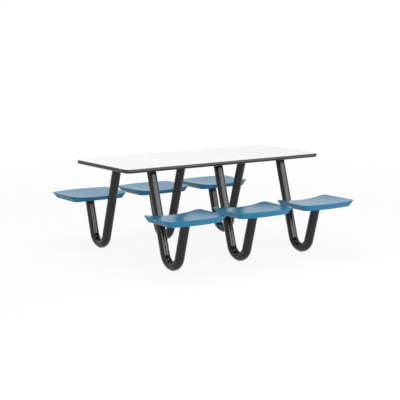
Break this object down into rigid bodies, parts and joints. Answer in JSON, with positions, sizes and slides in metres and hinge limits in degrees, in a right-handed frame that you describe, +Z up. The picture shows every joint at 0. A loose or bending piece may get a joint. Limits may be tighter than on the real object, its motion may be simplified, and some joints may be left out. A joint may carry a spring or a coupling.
{
  "type": "cafeteria table with fixed seats",
  "caption": "Rectangular cafeteria table on V-shaped bent-tube legs, each tube also carrying a moulded contoured seat beside the long sides.",
  "frame": {"origin": "on the floor under the middle of the tabletop, level with the soles of the glides", "axes": "+X along the tabletop's length, +Y towards one of the two rows of seats, +Z up"},
  "size_m": [1.8288, 1.8028, 0.757],
  "materials": {
    "laminate": "white high-pressure laminate, satin",
    "core_board": "bare particle board",
    "backer": "dark brown phenolic backing sheet, matte",
    "edge_vinyl": "black vinyl moulding, satin",
    "black_coat": "black powder coat, semi-gloss",
    "seat_blue": "blue moulded polypropylene, satin with fine grain",
    "zinc_steel": "zinc-plated steel",
    "insert_brass": "turned brass",
    "glide_nylon": "black nylon, matte"
  },
  "bodies": {
    "root": {"core_inserts": "insert_brass", "cross_rail_left": "black_coat", "cross_rail_middle": "black_coat", "cross_rail_right": "black_coat", "edge_moulding": "edge_vinyl", "floor_glide_far_left": "glide_nylon", "floor_glide_far_middle": "glide_nylon", "floor_glide_far_right": "glide_nylon", "floor_glide_near_left": "glide_nylon", "floor_glide_near_middle": "glide_nylon", "floor_glide_near_right": "glide_nylon", "leg_tube_far_left": "black_coat", "leg_tube_far_middle": "black_coat", "leg_tube_far_right": "black_coat", "leg_tube_near_left": "black_coat", "leg_tube_near_middle": "black_coat", "leg_tube_near_right": "black_coat", "seat_inserts": "insert_brass", "seat_plate_far_left": "black_coat", "seat_plate_far_middle": "black_coat", "seat_plate_far_right": "black_coat", "seat_plate_near_left": "black_coat", "seat_plate_near_middle": "black_coat", "seat_plate_near_right": "black_coat", "seat_screws": "zinc_steel", "seat_shell_far_left": "seat_blue", "seat_shell_far_middle": "seat_blue", "seat_shell_far_right": "seat_blue", "seat_shell_near_left": "seat_blue", "seat_shell_near_middle": "seat_blue", "seat_shell_near_right": "seat_blue", "table_plate_far_left": "black_coat", "table_plate_far_middle": "black_coat", "table_plate_far_right": "black_coat", "table_plate_near_left": "black_coat", "table_plate_near_middle": "black_coat", "table_plate_near_right": "black_coat", "top_backer": "backer", "top_core": "core_board", "top_laminate": "laminate", "top_screws": "zinc_steel"}
  },
  "joints": []
}
